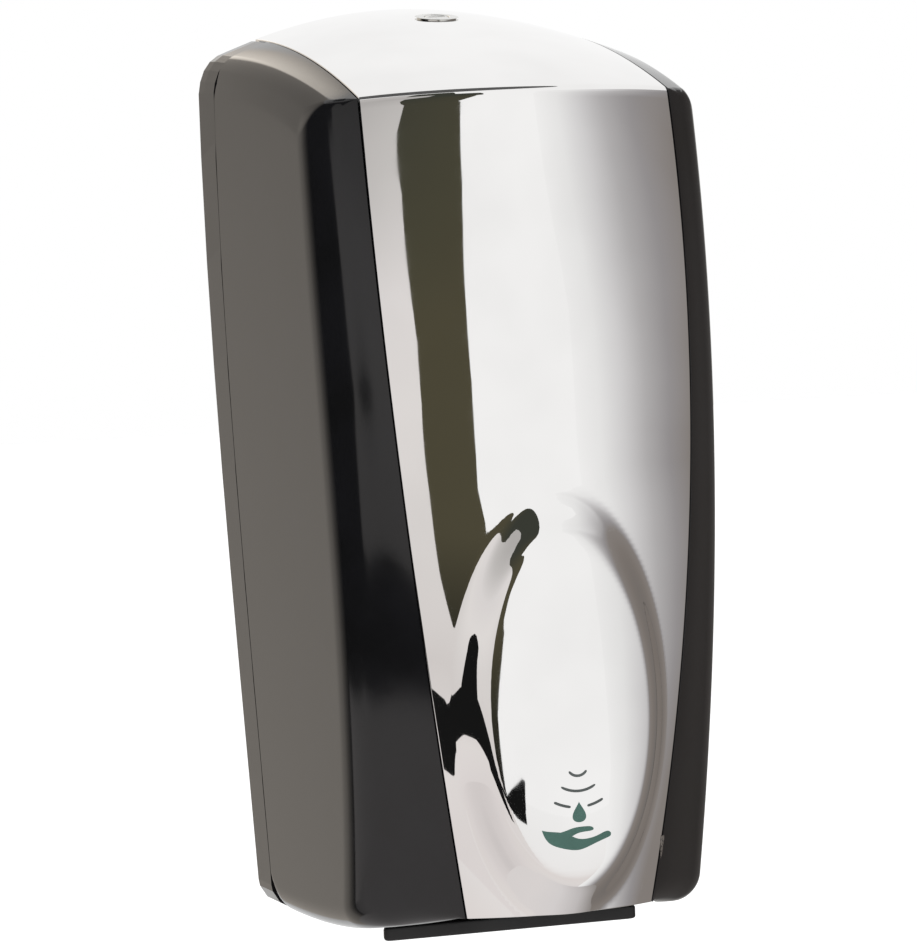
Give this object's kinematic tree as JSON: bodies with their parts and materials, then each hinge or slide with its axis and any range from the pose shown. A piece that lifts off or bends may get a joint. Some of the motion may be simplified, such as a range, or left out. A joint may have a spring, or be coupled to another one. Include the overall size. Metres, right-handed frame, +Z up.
{
  "type": "foam soap dispenser",
  "caption": "Wall-mounted touch-free foam soap dispenser: hinged black cover with bright front, key lock, refill, pump, geared lifter, cells and sensors.",
  "frame": {"origin": "centre of the back plate's rear face, on the wall plane", "axes": "+Z up, front faces -Y, +X to the right seen from the front"},
  "size_m": [0.1316, 0.1323, 0.2769],
  "materials": {
    "black_gloss": "high-gloss moulded black plastic",
    "black_matt": "fine-textured black plastic",
    "grey_matt": "moulded grey plastic",
    "chrome": "bright chrome plating on plastic",
    "steel": "plated steel",
    "acetal": "natural acetal",
    "refill": "milky blow-moulded plastic",
    "white": "white moulded plastic",
    "cell": "plain sleeve",
    "board": "solder-masked board",
    "lens": "dark infrared-clear plastic",
    "smoke": "smoked plastic"
  },
  "bodies": {
    "base": {"back_plate": "black_matt", "nozzle_shroud": "black_matt", "battery_box": "black_matt", "control_chip": "black_matt", "capacitor": "black_matt", "switch_housing": "black_matt", "chassis": "grey_matt", "battery_door": "grey_matt", "base_foot": "black_gloss", "wall_screw_1": "steel", "wall_screw_2": "steel", "wall_screw_3": "steel", "wall_screw_4": "steel", "hinge_pin_left": "steel", "hinge_pin_right": "steel", "latch_keeper": "steel", "return_spring": "steel", "guide_rod_left": "steel", "guide_rod_right": "steel", "gear_plate": "steel", "drive_shaft": "steel", "idler_shaft": "steel", "motor_bracket": "steel", "motor": "steel", "contact_strip_lower": "steel", "contact_strip_upper": "steel", "refill_bottle": "refill", "refill_collar": "white", "pump_body": "white", "battery_cell_1": "cell", "battery_cell_2": "cell", "battery_cell_3": "cell", "circuit_board": "board", "sensor_board": "board", "sensor_lens": "lens", "ir_emitter": "lens", "ir_detector": "lens"},
    "cover": {"cover_shell": "black_gloss", "front_panel": "chrome", "indicator_lens": "smoke", "lock_body": "steel", "lock_nut": "steel"},
    "lock": {"lock_plug": "steel", "lock_cam": "steel"},
    "actuator": {"pump_nozzle": "white", "actuator_carriage": "acetal"},
    "drive_gear": {"drive_gear": "acetal"},
    "idler_gear": {"idler_gear": "acetal"},
    "motor_pinion": {"motor_pinion": "acetal"},
    "power_switch": {"switch_slider": "white"}
  },
  "joints": [
    {"name": "cover_hinge", "type": "hinge", "parent": "base", "child": "cover", "pos_m": [0, -0.0203, -0.1295], "axis": [1, 0, 0], "range_deg": [0, 90]},
    {"name": "lock_turn", "type": "hinge", "parent": "cover", "child": "lock", "pos_m": [0, -0.034, 0.13507], "axis": [0, 0.1498, -0.9887], "range_deg": [0, 90]},
    {"name": "actuator_slide", "type": "slide", "parent": "base", "child": "actuator", "axis": [0, 0, 1], "range_m": [0, 0.009], "deforming": ["return_spring"]},
    {"name": "drive_turn", "type": "hinge", "parent": "base", "child": "drive_gear", "pos_m": [-0.0375, -0.078, -0.086], "axis": [1, 0, 0], "range_deg": [-86, 0]},
    {"name": "idler_turn", "type": "hinge", "parent": "base", "child": "idler_gear", "pos_m": [-0.0425, -0.06368, -0.07064], "axis": [1, 0, 0], "range_deg": [0, 276]},
    {"name": "motor_turn", "type": "hinge", "parent": "base", "child": "motor_pinion", "pos_m": [-0.0425, -0.05004, -0.05601], "axis": [1, 0, 0], "range_deg": [-826, 0]},
    {"name": "power_slide", "type": "slide", "parent": "base", "child": "power_switch", "axis": [1, 0, 0], "range_m": [0, 0.004]}
  ],
  "couplings": [
    {"joint": "drive_turn", "follows": "actuator_slide", "rad_per_m": -166.67},
    {"joint": "idler_turn", "follows": "actuator_slide", "rad_per_m": 533.33},
    {"joint": "motor_turn", "follows": "actuator_slide", "rad_per_m": -1600}
  ]
}
